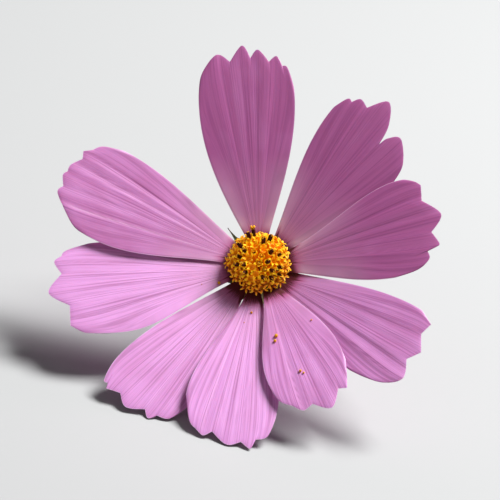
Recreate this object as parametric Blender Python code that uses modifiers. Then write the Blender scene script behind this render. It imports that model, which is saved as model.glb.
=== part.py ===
"""A picked cosmos flower: nine ray petals round a domed disc, with its bracts, receptacle and cut stem.

It lies as a picked flower does: on the tips of two petals and along its stem, with its face up and
forward. The head is modelled about its own axis (+Z out of its face) under one empty, which is then
leaned, turned and lowered until the petals touch the surface at z = 0.
"""

import math

import bpy
import numpy as np
from mathutils import Matrix, Vector

MM = 0.001

# How the flower lies
LEAN_DEGREES = 45.0  # of the head's axis from the vertical, towards -Y
TURN_DEGREES = 15.8  # of the head about its own axis, so that petals 6 and 7 both touch down

# Petals, in millimetres and degrees
PETAL_THICKNESS = 0.3
PETAL_RING_RADIUS = 3.65
CLAW_HALF_WIDTH = 0.6
TIP_NARROWING = 0.22
ARCH_HEIGHT = 1.2
FOLD_DEPTH = 0.22
FOLDS_ACROSS = 2.5
PETAL_ROWS = 7

# Each petal: the direction it points in and its lift, then its two sides, each as (half width, where
# it is widest as a share of the length, how straight it is, where it ends), then its rim as tips and
# notches in turn from left to right, each as a place across (1 to -1) and a length. rise, tilt and cup
# lay the petals over and under each other.
PETALS = {
    1: dict(angle=94, lift=13, rise=0.4, tilt=0, cup=0.1,
            left=(9.6, 0.68, 1.0, 33.5), right=(9.1, 0.68, 1.0, 33.5),
            rim=((0.76, 37.7), (0.42, 36.5), (0.12, 39.4), (-0.12, 37.2), (-0.35, 38.4),
                 (-0.6, 35.9), (-0.82, 36.9))),
    2: dict(angle=48, lift=13, rise=0.0, tilt=2, cup=0.0,
            left=(9.5, 0.78, 1.2, 30.5), right=(9.2, 0.75, 1.1, 28.0),
            rim=((0.93, 33.0), (0.84, 32.7), (0.78, 33.9), (0.58, 33.8), (0.33, 36.3),
                 (-0.2, 28.9), (-0.52, 32.5))),
    3: dict(angle=11, lift=13, rise=0.7, tilt=1, cup=0.1,
            left=(9.3, 0.8, 1.4, 28.5), right=(9.5, 0.72, 1.0, 25.0),
            rim=((0.9, 30.6), (0.54, 29.8), (0.12, 32.4), (-0.32, 30.1), (-0.62, 30.8),
                 (-0.72, 28.4), (-0.88, 28.4))),
    4: dict(angle=-35, lift=13, rise=0.0, tilt=2, cup=0.0,
            left=(8.4, 0.8, 1.15, 29.0), right=(8.8, 0.78, 1.2, 28.5),
            rim=((0.93, 31.8), (0.6, 31.2), (0.2, 33.2), (-0.16, 31.7), (-0.58, 33.5))),
    5: dict(angle=-68, lift=14, rise=0.8, tilt=0, cup=0.2,
            left=(7.1, 0.7, 1.15, 25.0), right=(7.6, 0.74, 1.3, 23.5),
            rim=((0.84, 28.8), (0.62, 28.6), (0.2, 31.3), (-0.28, 29.3), (-0.55, 29.9),
                 (-0.8, 27.5), (-0.87, 27.7))),
    6: dict(angle=-99, lift=14, rise=0.2, tilt=-3, cup=0.0,
            left=(8.6, 0.74, 1.3, 31.0), right=(8.4, 0.74, 1.4, 28.5),
            rim=((0.95, 33.3), (0.88, 33.2), (0.78, 35.2), (0.47, 34.4), (0.12, 35.7),
                 (-0.37, 33.4), (-0.66, 34.4), (-0.8, 32.9), (-0.9, 32.8))),
    7: dict(angle=-128, lift=13, rise=-0.3, tilt=-2, cup=0.0,
            left=(8.2, 0.8, 1.3, 30.5), right=(8.2, 0.82, 1.2, 32.5),
            rim=((0.9, 33.2), (0.78, 33.0), (0.6, 35.0), (0.34, 34.2), (-0.04, 36.2),
                 (-0.45, 34.2), (-0.78, 35.3))),
    8: dict(angle=-169, lift=13, rise=0.0, tilt=3, cup=0.0,
            left=(9.9, 0.68, 1.2, 31.0), right=(8.6, 0.75, 1.2, 30.0),
            rim=((0.85, 34.2), (0.42, 33.5), (0.07, 37.1), (-0.42, 34.1), (-0.75, 35.2),
                 (-0.88, 33.6), (-0.93, 33.7))),
    9: dict(angle=157, lift=14, rise=0.7, tilt=2, cup=0.1,
            left=(9.6, 0.68, 1.3, 28.5), right=(8.9, 0.78, 1.15, 31.0),
            rim=((0.62, 36.6), (0.33, 36.3), (0.08, 37.3), (-0.5, 35.4), (-0.75, 35.7))),
}

# Bracts, in millimetres and degrees
OUTER_BRACT = dict(count=8, first=126, radius=2.75, height=-2.25, length=7.0, half_width=0.95,
                   lift=6, arch=0.5, thickness=0.35)
INNER_BRACT = dict(count=8, first=148.5, radius=3.22, height=-1.0, length=6.2, half_width=1.7,
                   lift=15, arch=-0.4, thickness=0.3)
BRACT_ROWS = 5
BRACT_KEEL = 0.15  # how far the middle line hangs below the sides, where a bract is widest

# Receptacle: its profile from the top of its dome down, as (radius, height)
DOME_RADIUS = 3.1
DOME_HEIGHT = 0.9
DOME_BASE = 1.0
DOME_STEPS = 4
UNDERSIDE = ((3.1, -0.5), (2.55, -1.7), (1.5, -3.0), (0.9, -4.2))
RECEPTACLE_SIDES = 20

# Disc florets, in millimetres and degrees
FLORET_TOTAL = 75  # in the whole spiral, counted from the middle
FLORET_NODES = 32  # the open outer ones, each a solid of its own; the closed middle ones are joined
GOLDEN_ANGLE = math.degrees(math.pi * (3 - math.sqrt(5)))
DISC_RADIUS = 5.9
DISC_RIM_HEIGHT = 2.6
DISC_TOP_HEIGHT = 6.2
DISC_SPREAD = 72  # of the outermost florets' places round the dome
FLORET_FOOT_RADIUS = 2.85
FLORET_GAP = 0.5
FLORET_SIDES = 6
# The floret's profile: (radius, share of its length), and its anthers stand above its open mouth
FLORET_PROFILE = ((0.15, 0.0), (0.2, 0.55), (0.55, 0.9), (0.28, 0.95))
ANTHER_HEIGHT = 1.1
ANTHER_RADIUS = 0.2
BUDS_SHARE = 0.6  # how far the joined middle buds reach across the disc
BUDS_FOOT_SHARE = 0.55
BUDS_HEIGHT = 0.3  # of their round tops above the disc's dome
BUDS_DEPTH = 0.45
BUDS_STEPS = 4
BUDS_SIDES = 16

# Stem, in millimetres
STEM_RADIUS_TOP = 0.85
STEM_RADIUS_END = 1.05
STEM_TOP_HEIGHT = -4.55  # on the head's axis
STEM_LENGTH = 100.0
STEM_STEP = 4.5
STEM_SWAY = 2.0

COLOURS = {
    "petal": ((0.72, 0.36, 0.68), 0.55),
    "outer bract": ((0.13, 0.24, 0.06), 0.6),
    "inner bract": ((0.36, 0.27, 0.12), 0.6),
    "receptacle": ((0.20, 0.33, 0.10), 0.6),
    "floret": ((0.85, 0.42, 0.02), 0.6),
    "stem": ((0.16, 0.30, 0.08), 0.55),
}


def clear_scene():
    for obj in list(bpy.data.objects):
        bpy.data.objects.remove(obj)


def material(name):
    made = bpy.data.materials.get(name)
    if made:
        return made
    colour, roughness = COLOURS[name]
    made = bpy.data.materials.new(name)
    made.use_nodes = True
    shader = made.node_tree.nodes["Principled BSDF"]
    shader.inputs["Base Color"].default_value = (*colour, 1)
    shader.inputs["Roughness"].default_value = roughness
    shader.inputs["Metallic"].default_value = 0
    made.diffuse_color = (*colour, 1)
    return made


def add_part(name, data, finish, parent):
    data.materials.clear()
    data.materials.append(material(finish))
    part = bpy.data.objects.new(name, data)
    collection.objects.link(part)
    part.parent = parent
    return part


def grid_mesh(name, rows):
    """A surface through rows of points, all in millimetres and all of one length."""
    across = len(rows[0])
    points = [Vector(point) * MM for row in rows for point in row]
    faces = [
        (i * across + j, (i + 1) * across + j, (i + 1) * across + j + 1, i * across + j + 1)
        for i in range(len(rows) - 1)
        for j in range(across - 1)
    ]
    mesh = bpy.data.meshes.new(name)
    mesh.from_pydata(points, [], faces)
    mesh.shade_smooth()
    return mesh


def thicken(part, thickness):
    shell = part.modifiers.new("thickness", "SOLIDIFY")
    shell.thickness = thickness * MM
    shell.offset = 0
    return shell


def smoothstep(x):
    x = min(max(x, 0), 1)
    return x * x * (3 - 2 * x)


# Petals


def rim_length(petal, t):
    """How far the blade reaches at t across: round shoulders, and round tips with sharp notches."""
    rim = petal["rim"]
    for edge, tip, side in ((1, rim[0], petal["left"]), (-1, rim[-1], petal["right"])):
        inwards = (edge - t) / (edge - tip[0])
        if 0 <= inwards <= 1:
            return side[3] + (tip[1] - side[3]) * math.sqrt(1 - (1 - inwards) ** 2)
    for i, (left, right) in enumerate(zip(rim, rim[1:])):
        if left[0] >= t >= right[0]:
            tip, notch = (left, right) if i % 2 == 0 else (right, left)
            rise = math.sin(math.pi / 2 * (t - notch[0]) / (tip[0] - notch[0]))
            return notch[1] + (tip[1] - notch[1]) * rise
    raise ValueError(t)


def half_width(petal, t, u, length):
    full, widest, straightness, _ = petal["left" if t > 0 else "right"]
    x = u / (widest * length)
    if x < 1:
        swell = math.sin(math.pi / 2 * x**straightness)
        return CLAW_HALF_WIDTH + (full - CLAW_HALF_WIDTH) * swell
    past = (u / length - widest) / (1 - widest)
    return full * (1 - TIP_NARROWING * past**2)


def petal_point(petal, s, t):
    """The point a share s along the blade and t across it (1 left, -1 right), in the head's frame."""
    length = max(reach for _, reach in petal["rim"])
    u = s * rim_length(petal, t)
    v = t * half_width(petal, t, u, length)
    along = u / length
    h = petal["rise"] + ARCH_HEIGHT * 4 * along * (1 - along)
    h += math.tan(math.radians(petal["tilt"])) * v + petal["cup"] * (v / 8) ** 2
    h += FOLD_DEPTH * smoothstep(2 * along) * math.cos(math.pi * FOLDS_ACROSS * t)
    lift, angle = math.radians(petal["lift"]), math.radians(petal["angle"])
    out = PETAL_RING_RADIUS + u * math.cos(lift) - h * math.sin(lift)
    up = u * math.sin(lift) + h * math.cos(lift)
    return (out * math.cos(angle) - v * math.sin(angle), out * math.sin(angle) + v * math.cos(angle), up)


def petal_columns(petal):
    """Places across: every tip and notch, one between each two, and two on each shoulder."""
    marks = [1] + [t for t, _ in petal["rim"]] + [-1]
    columns = []
    for left, right in zip(marks, marks[1:]):
        columns += [left, (left + right) / 2]
    return columns + [-1]


def add_petal(number, petal, head):
    shares = [row / PETAL_ROWS for row in range(PETAL_ROWS + 1)]
    rows = [[petal_point(petal, s, t) for t in petal_columns(petal)] for s in shares]
    part = add_part(f"petal_{number}", grid_mesh(f"petal_{number}", rows), "petal", head)
    thicken(part, PETAL_THICKNESS)


# Bracts


def add_bracts(kind, bract, head):
    """A whorl of pointed bracts, each a thin blade that is widest a third of the way out."""
    lift = math.radians(bract["lift"])
    rows = []
    for row in range(BRACT_ROWS + 1):
        s = row / BRACT_ROWS
        width = bract["half_width"] * (0.55 + 0.45 * math.sin(math.pi * min(s * 1.5, 1)))
        width *= 1 - 0.85 * smoothstep((s - 0.35) / 0.65)
        h = bract["arch"] * 4 * s * (1 - s)
        out = bract["radius"] + bract["length"] * s * math.cos(lift) - h * math.sin(lift)
        up = bract["height"] + bract["length"] * s * math.sin(lift) + h * math.cos(lift)
        keel = BRACT_KEEL * width / bract["half_width"]
        rows.append([(out, t * width, up - keel * (1 - t * t)) for t in (1, 0, -1)])
    mesh = grid_mesh(f"{kind}_bract", rows)
    for i in range(bract["count"]):
        part = add_part(f"{kind}_bract_{i + 1}", mesh, f"{kind} bract", head)
        part.rotation_euler.z = math.radians(bract["first"] + i * 360 / bract["count"])
        thicken(part, bract["thickness"])


# Receptacle and disc florets


def dome_height(radius):
    return DOME_BASE + DOME_HEIGHT * (1 - (radius / DOME_RADIUS) ** 2)


def turned(name, profile, sides):
    """A closed solid turned about Z from a profile that runs from its top to its bottom."""
    mesh = bpy.data.meshes.new(name)
    points = [(radius * MM, 0, height * MM) for radius, height in profile]
    mesh.from_pydata(points, [(i, i + 1) for i in range(len(points) - 1)], [])
    part = bpy.data.objects.new(name, mesh)
    collection.objects.link(part)
    turn = part.modifiers.new("turn", "SCREW")
    turn.steps = turn.render_steps = sides
    turn.use_merge_vertices = True
    turn.merge_threshold = 0.00001
    return part


def add_receptacle(head):
    radii = [DOME_RADIUS * i / DOME_STEPS for i in range(DOME_STEPS + 1)]
    profile = [(radius, dome_height(radius)) for radius in radii] + list(UNDERSIDE)
    profile.append((0, UNDERSIDE[-1][1]))
    part = turned("receptacle", profile, RECEPTACLE_SIDES)
    part.data.materials.append(material("receptacle"))
    part.parent = head


def foot_place(share):
    """Where a floret this share of the way across the disc stands on the receptacle."""
    radius = FLORET_FOOT_RADIUS * share
    return radius, dome_height(radius) + FLORET_GAP


def mouth_place(share):
    """Where its mouth is on the disc's dome."""
    around, full = (math.radians(degrees) for degrees in (share * DISC_SPREAD, DISC_SPREAD))
    fall = (1 - math.cos(around)) / (1 - math.cos(full))
    height = DISC_TOP_HEIGHT - (DISC_TOP_HEIGHT - DISC_RIM_HEIGHT) * fall
    return DISC_RADIUS * math.sin(around) / math.sin(full), height


def floret_ends(k):
    """Foot and mouth of the k-th floret of the spiral, counted from the middle of the disc."""
    share = math.sqrt((k + 0.5) / FLORET_TOTAL)
    angle = math.radians(k * GOLDEN_ANGLE)
    ends = (foot_place(share), mouth_place(share))
    return [Vector((r * math.cos(angle), r * math.sin(angle), z)) * MM for r, z in ends]


def add_middle_buds(head):
    """The closed buds in the middle, crowded into one domed cluster that narrows to its foot."""
    profile = []
    for i in range(BUDS_STEPS + 1):
        radius, height = mouth_place(BUDS_SHARE * i / BUDS_STEPS)
        profile.append((radius, height + BUDS_HEIGHT))
    profile.append((radius, height - BUDS_DEPTH))
    foot_radius, floor = foot_place(BUDS_FOOT_SHARE)[0], foot_place(0)[1]
    profile += [(foot_radius, floor), (0, floor)]
    part = turned("middle_buds", profile, BUDS_SIDES)
    part.data.materials.append(material("floret"))
    part.parent = head


def add_florets(head):
    for number in range(FLORET_NODES):
        foot, mouth = floret_ends(FLORET_TOTAL - FLORET_NODES + number)
        length = (mouth - foot).length / MM
        profile = [(ANTHER_RADIUS, length + ANTHER_HEIGHT)]
        profile += [(radius, share * length) for radius, share in reversed(FLORET_PROFILE)]
        profile = [(0, profile[0][1])] + profile + [(0, 0)]
        part = turned(f"disc_floret_{number + 1}", profile, FLORET_SIDES)
        part.data.materials.append(material("floret"))
        part.parent = head
        part.rotation_mode = "QUATERNION"
        part.rotation_quaternion = (mouth - foot).to_track_quat("Z", "Y")
        part.location = foot


# Stem


def stem_route(start, direction):
    """Points in metres down from the head in one arc, then along the surface, swaying a little."""
    fall = start.z - STEM_RADIUS_END * MM
    slope = math.atan2(-direction.z, direction.y)
    bend = fall / (1 - math.cos(slope))
    arc = bend * slope
    count = round(STEM_LENGTH * MM / (STEM_STEP * MM))
    points = []
    for i in range(count + 1):
        d = STEM_LENGTH * MM * i / count
        turned_by = min(d, arc) / bend
        y = start.y + bend * (math.sin(slope) - math.sin(slope - turned_by)) + max(d - arc, 0)
        z = start.z - bend * (math.cos(slope - turned_by) - math.cos(slope))
        share = max(d - arc * 0.5, 0) / (STEM_LENGTH * MM - arc * 0.5)
        x = start.x + STEM_SWAY * MM * (math.sin(math.pi * 1.4 * share) - 0.3 * share)
        points.append(Vector((x, y, z)))
    return points


def add_stem(head, flower):
    start = head.matrix_world @ Vector((0, 0, STEM_TOP_HEIGHT * MM))
    direction = -(head.matrix_world.to_3x3() @ Vector((0, 0, 1)))
    points = stem_route(start, direction)
    curve = bpy.data.curves.new("stem", "CURVE")
    curve.dimensions = "3D"
    curve.bevel_depth = STEM_RADIUS_END * MM
    curve.bevel_resolution = 2
    curve.use_fill_caps = True
    spline = curve.splines.new("POLY")
    spline.points.add(len(points) - 1)
    for i, (point, place) in enumerate(zip(spline.points, points)):
        share = i / (len(points) - 1)
        point.co = (*place, 1)
        point.radius = STEM_RADIUS_TOP / STEM_RADIUS_END * (1 - share) + share
    add_part("stem", curve, "stem", flower)


# The whole flower


def corners_of(parts):
    """All the evaluated vertices of these parts, in world space."""
    bpy.context.view_layer.update()
    graph = bpy.context.evaluated_depsgraph_get()
    found = []
    for part in parts:
        shown = part.evaluated_get(graph)
        mesh = shown.to_mesh()
        flat = np.empty(len(mesh.vertices) * 3)
        mesh.vertices.foreach_get("co", flat)
        matrix = np.array(shown.matrix_world)
        found.append(flat.reshape(-1, 3) @ matrix[:3, :3].T + matrix[:3, 3])
        shown.to_mesh_clear()
    return np.concatenate(found)


def parts_of_flower():
    return [part for part in collection.objects if part.type != "EMPTY"]


def add_empty(name, parent=None):
    empty = bpy.data.objects.new(name, None)
    collection.objects.link(empty)
    empty.parent = parent
    return empty


def main():
    flower = add_empty("flower")
    head = add_empty("head", flower)
    head.rotation_mode = "ZYX"  # it turns about its own axis first, and then leans
    head.rotation_euler = (math.radians(LEAN_DEGREES), 0, math.radians(TURN_DEGREES))
    for number, petal in PETALS.items():
        add_petal(number, petal, head)
    add_bracts("outer", OUTER_BRACT, head)
    add_bracts("inner", INNER_BRACT, head)
    add_receptacle(head)
    add_florets(head)
    add_middle_buds(head)
    head.location.z = -corners_of(parts_of_flower())[:, 2].min()
    bpy.context.view_layer.update()
    add_stem(head, flower)
    places = corners_of(parts_of_flower())
    middle = (places.min(axis=0) + places.max(axis=0)) / 2
    flower.location = (-middle[0], -middle[1], 0)
    bpy.context.view_layer.update()


clear_scene()
collection = bpy.data.collections.new("cosmos_flower")
bpy.context.scene.collection.children.link(collection)
main()
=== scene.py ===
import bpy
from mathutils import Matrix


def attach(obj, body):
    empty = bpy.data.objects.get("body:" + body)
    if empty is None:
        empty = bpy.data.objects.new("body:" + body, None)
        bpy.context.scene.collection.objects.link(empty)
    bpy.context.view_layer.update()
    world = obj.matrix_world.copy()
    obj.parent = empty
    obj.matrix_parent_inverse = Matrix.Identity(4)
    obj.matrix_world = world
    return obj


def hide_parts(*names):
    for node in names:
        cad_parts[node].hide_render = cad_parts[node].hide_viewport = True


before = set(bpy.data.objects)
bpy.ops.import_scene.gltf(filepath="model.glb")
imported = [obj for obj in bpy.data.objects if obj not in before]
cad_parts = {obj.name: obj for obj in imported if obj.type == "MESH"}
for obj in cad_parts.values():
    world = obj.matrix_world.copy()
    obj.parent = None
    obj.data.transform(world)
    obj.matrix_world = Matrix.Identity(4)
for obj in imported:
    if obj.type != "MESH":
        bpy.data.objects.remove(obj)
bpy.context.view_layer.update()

import math
import random

import bpy
import numpy as np
from mathutils import Matrix, Vector

mm = 0.001
body = "root"
sharpAngle = 50  # degrees: edges turned by more than this are shown sharp


# Head: where it is, read from the receptacle that the model holds

head = {
    "lean": 45.0,  # degrees that its axis leans from the vertical
    "turn": 15.8,  # degrees it is turned about its own axis
    "receptacleBottom": -4.2,  # mm along the axis
}


def findHead():
    turned = Matrix.Rotation(math.radians(head["lean"]), 4, "X")
    turned = turned @ Matrix.Rotation(math.radians(head["turn"]), 4, "Z")
    flat = np.array([v.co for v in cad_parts["receptacle"].data.vertices])
    local = flat @ np.array(turned.to_3x3())  # each row is turned back into the head's own axes
    low, high = local.min(axis=0), local.max(axis=0)
    middle = (low + high) / 2
    centre = Vector((middle[0], middle[1], low[2] - head["receptacleBottom"] * mm))
    return Matrix.Translation(turned @ centre) @ turned


headPlace = findHead()
print("head at", [round(x / mm, 2) for x in headPlace.translation], "mm")


# Meshes from grids of points


def faceGrid(across, along, start=0, closed=False, flip=False):
    faces = []
    turns = across if closed else across - 1
    for i in range(along - 1):
        for j in range(turns):
            k = (j + 1) % across
            corners = (start + i * across + j, start + i * across + k,
                       start + (i + 1) * across + k, start + (i + 1) * across + j)
            faces.append(corners[::-1] if flip else corners)
    return faces


def gridNormals(points):
    along = np.gradient(points, axis=0)
    across = np.gradient(points, axis=1)
    normals = np.cross(across, along)
    size = np.linalg.norm(normals, axis=2, keepdims=True)
    return normals / np.maximum(size, 1e-12)


def shellOf(points, thickness, taper=None):
    # A closed skin round a sheet of points: rows run along it and columns run from left to right
    rows, columns = points.shape[:2]
    half = gridNormals(points) * thickness / 2
    if taper is not None:
        half = half * taper[..., None]
    top, under = points - half, points + half
    verts = np.concatenate([top.reshape(-1, 3), under.reshape(-1, 3)])
    count = rows * columns
    faces = faceGrid(columns, rows) + faceGrid(columns, rows, count, flip=True)
    rim = list(range(columns)) + [r * columns + columns - 1 for r in range(1, rows)]
    rim += [(rows - 1) * columns + c for c in range(columns - 2, -1, -1)]
    rim += [r * columns for r in range(rows - 2, 0, -1)]
    for a, b in zip(rim, rim[1:] + rim[:1]):
        faces.append((b, a, a + count, b + count))
    return verts, faces


def turnedOf(profile, sides, wobble=None):
    # A closed solid turned about Z: the profile runs from its bottom to its top, both on the axis
    verts, faces = [(0, 0, profile[0][1])], []
    for level, (radius, height) in enumerate(profile[1:-1]):
        for j in range(sides):
            angle = 2 * math.pi * j / sides
            r = radius * (wobble(angle, level) if wobble else 1)
            verts.append((r * math.cos(angle), r * math.sin(angle), height))
    rings = len(profile) - 2
    top = len(verts)
    verts.append((0, 0, profile[-1][1]))
    faces += [(0, 1 + (j + 1) % sides, 1 + j) for j in range(sides)]
    faces += faceGrid(sides, rings, 1, closed=True)
    last = 1 + (rings - 1) * sides
    faces += [(last + j, last + (j + 1) % sides, top) for j in range(sides)]
    return np.array(verts, float), faces


def placed(verts, matrix):
    spun = np.array(matrix.to_3x3())
    return verts @ spun.T + np.array(matrix.translation)


def newObject(name, data):
    made = bpy.data.objects.new(name, data)
    bpy.context.scene.collection.objects.link(made)
    return made


class Build:
    # Gathers closed bodies, each with its material, into one piece
    def __init__(self):
        self.verts, self.faces, self.slots, self.values = [], [], [], {}
        self.count = 0

    def add(self, verts, faces, slot=0, **values):
        self.verts.append(verts)
        self.faces += [tuple(i + self.count for i in face) for face in faces]
        self.slots += [slot] * len(faces)
        for name, value in values.items():
            self.values.setdefault(name, []).append(value)
        self.count += len(verts)

    def piece(self, name, materials, nodes=()):
        mesh = bpy.data.meshes.new(name)
        mesh.from_pydata(np.concatenate(self.verts).tolist(), [], self.faces)
        mesh.update()
        for material in materials:
            mesh.materials.append(material)
        mesh.polygons.foreach_set("material_index", self.slots)
        mesh.shade_smooth()
        mesh.set_sharp_from_angle(angle=math.radians(sharpAngle))
        for key, parts in self.values.items():
            values = np.concatenate(parts).astype(np.float32)
            kind = "FLOAT_VECTOR" if values.ndim == 2 else "FLOAT"
            layer = mesh.attributes.new(key, kind, "POINT")
            layer.data.foreach_set("vector" if values.ndim == 2 else "value", values.ravel())
        made = newObject(name, mesh)
        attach(made, body)
        if nodes:
            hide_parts(*nodes)
        return made


def onHead(verts):
    # From millimetres about the head's axis to the scene
    return placed(verts * mm, headPlace)


# Shader helpers


def newMaterial(name, **settings):
    material = bpy.data.materials.new(name)
    material.use_nodes = True
    shader = material.node_tree.nodes["Principled BSDF"]
    for socket, value in settings.items():
        shader.inputs[socket].default_value = value
    return material, material.node_tree, shader


def feed(tree, socket, value):
    if isinstance(value, (int, float)):
        socket.default_value = value
    elif isinstance(value, tuple):
        socket.default_value = (*value, 1)
    else:
        tree.links.new(value, socket)


def ramp(tree, value, stops):
    node = tree.nodes.new("ShaderNodeValToRGB")
    node.color_ramp.interpolation = "EASE"
    elements = node.color_ramp.elements
    while len(elements) < len(stops):
        elements.new(0.5)
    for element, (place, colour) in zip(elements, stops):
        element.position = place
        element.color = (*colour, 1) if isinstance(colour, tuple) else (colour, colour, colour, 1)
    tree.links.new(value, node.inputs[0])
    return node.outputs["Color"]


def mix(tree, factor, first, second):
    node = tree.nodes.new("ShaderNodeMix")
    node.data_type = "RGBA"
    for socket, value in ((node.inputs[0], factor), (node.inputs[6], first), (node.inputs[7], second)):
        feed(tree, socket, value)
    return node.outputs[2]


def calc(tree, operation, first, second=0.0, third=0.0):
    node = tree.nodes.new("ShaderNodeMath")
    node.operation = operation
    for socket, value in zip(node.inputs, (first, second, third)):
        feed(tree, socket, value)
    return node.outputs[0]


def noiseOf(tree, vector, scale, detail, roughness):
    node = tree.nodes.new("ShaderNodeTexNoise")
    node.inputs["Scale"].default_value = scale
    node.inputs["Detail"].default_value = detail
    node.inputs["Roughness"].default_value = roughness
    tree.links.new(vector, node.inputs["Vector"])
    return node.outputs["Fac"]


def joined(tree, *values):
    node = tree.nodes.new("ShaderNodeCombineXYZ")
    for socket, value in zip(node.inputs, values):
        feed(tree, socket, value)
    return node.outputs[0]


def attributeOf(tree, name, output="Fac"):
    node = tree.nodes.new("ShaderNodeAttribute")
    node.attribute_name = name
    return node.outputs[output]


def fanOf(tree):
    fan = tree.nodes.new("ShaderNodeSeparateXYZ")
    tree.links.new(attributeOf(tree, "fan", "Vector"), fan.inputs[0])
    return fan.outputs


def bump(tree, height, strength, distance):
    node = tree.nodes.new("ShaderNodeBump")
    node.inputs["Strength"].default_value = strength
    node.inputs["Distance"].default_value = distance
    tree.links.new(height, node.inputs["Height"])
    return node.outputs["Normal"]


def newGroup(name, inputs, outputs):
    group = bpy.data.node_groups.new(name, "ShaderNodeTree")
    for socket, kind, value in inputs:
        made = group.interface.new_socket(socket, in_out="INPUT", socket_type=kind)
        if value is not None:
            made.default_value = value
    for socket, kind in outputs:
        group.interface.new_socket(socket, in_out="OUTPUT", socket_type=kind)
    return group, group.nodes.new("NodeGroupInput").outputs, group.nodes.new("NodeGroupOutput").inputs


def useGroup(tree, group, **values):
    node = tree.nodes.new("ShaderNodeGroup")
    node.node_tree = group
    for name, value in values.items():
        feed(tree, node.inputs[name], value)
    return node.outputs


fibreLook = {
    "along": 0.3,  # how fast the lines change along, against across
    "broadAcross": 0.2,  # the broad streaks' own shares of that
    "broadAlong": 0.5,
}


# Fine lines that run along a petal, bract or stem: Across counts the fibres and Along follows them
def fibreGroup():
    group, given, put = newGroup(
        "fibres",
        [("Across", "NodeSocketFloat", 0.0), ("Along", "NodeSocketFloat", 0.0),
         ("Count", "NodeSocketFloat", 30.0), ("Seed", "NodeSocketFloat", 0.0)],
        [("Lines", "NodeSocketFloat"), ("Streaks", "NodeSocketFloat"), ("Height", "NodeSocketFloat")])
    place = calc(group, "MULTIPLY", given["Across"], given["Count"])
    reach = calc(group, "MULTIPLY", given["Along"], fibreLook["along"])
    fine = noiseOf(group, joined(group, place, reach, given["Seed"]), 1.0, 4.0, 0.6)
    broad = joined(group, calc(group, "MULTIPLY", place, fibreLook["broadAcross"]),
                   calc(group, "MULTIPLY", reach, fibreLook["broadAlong"]), given["Seed"])
    wide = noiseOf(group, broad, 1.0, 2.0, 0.5)
    group.links.new(ramp(group, fine, [(0.36, 1.0), (0.43, 0.5), (0.5, 0.0)]), put["Lines"])
    group.links.new(ramp(group, wide, [(0.3, 0.0), (0.7, 1.0)]), put["Streaks"])
    group.links.new(fine, put["Height"])
    return group


# Soft blotches and tiny freckles of living tissue
def mottleGroup():
    group, given, put = newGroup(
        "mottle",
        [("Position", "NodeSocketVector", None), ("Size", "NodeSocketFloat", 900.0)],
        [("Blotch", "NodeSocketFloat"), ("Cells", "NodeSocketFloat")])
    blotch = group.nodes.new("ShaderNodeTexNoise")
    cells = group.nodes.new("ShaderNodeTexVoronoi")
    for node in (blotch, cells):
        group.links.new(given["Position"], node.inputs["Vector"])
    group.links.new(calc(group, "MULTIPLY", given["Size"], 0.25), blotch.inputs["Scale"])
    group.links.new(calc(group, "MULTIPLY", given["Size"], 8.0), cells.inputs["Scale"])
    group.links.new(blotch.outputs["Fac"], put["Blotch"])
    group.links.new(cells.outputs["Distance"], put["Cells"])
    return group


fibres = fibreGroup()
mottle = mottleGroup()


def objectPlace(tree):
    return tree.nodes.new("ShaderNodeTexCoord").outputs["Object"]


tissueLook = {"specular": 0.15, "bump": 0.4, "cellDepth": 0.00004}


def plainTissue(name, colour, second, roughness, size):
    material, tree, shader = newMaterial(
        name, Roughness=roughness, **{"Specular IOR Level": tissueLook["specular"]})
    spots = useGroup(tree, mottle, Position=objectPlace(tree), Size=size)
    tone = mix(tree, ramp(tree, spots["Blotch"], [(0.3, 0.0), (0.7, 1.0)]), colour, second)
    tree.links.new(tone, shader.inputs["Base Color"])
    rough = bump(tree, spots["Cells"], tissueLook["bump"], tissueLook["cellDepth"])
    tree.links.new(rough, shader.inputs["Normal"])
    return material


grainRings = (0.7, 1.25, 1.9, 2.45)  # radians from the bottom of a grain
grainSides = 8


def ballOf(radius, rand):
    squash = rand.uniform(0.75, 1.0)
    profile = [(0, -radius * squash)]
    profile += [(radius * math.sin(a), -radius * squash * math.cos(a)) for a in grainRings]
    profile.append((0, radius * squash))
    return turnedOf(profile, grainSides)


# Petals

petalLook = {
    # light is the pale colour with a painted sheen, for petals facing the key light; deep is painted shade,
    # for petals turned from it
    "light": (0.80, 0.33, 0.72),
    "deep": (0.50, 0.115, 0.34),
    "vein": (0.30, 0.05, 0.20),
    "claw": (0.78, 0.48, 0.62),
    # painted shade near the base of the pale petals
    "baseShade": (0.44, 0.14, 0.28),
    "blush": (0.42, 0.05, 0.20),
    "throat": (0.10, 0.003, 0.012),
    # the rim colour is a painted highlight along the petal's edge
    "rim": (0.90, 0.60, 0.85),
    "pollen": (0.85, 0.42, 0.03),
    "pollenDeep": (0.75, 0.27, 0.01),
    "veinCount": 17.0,
    "hairCount": 46.0,
    "spotSize": 500.0,
    "streaks": 0.22,  # how much the broad streaks and the blotches add to a petal's tone
    "blotches": 0.2,
    "veinStrength": 0.9,
    "hairStrength": 0.32,
    "creaseStrength": 0.7,
}


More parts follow.
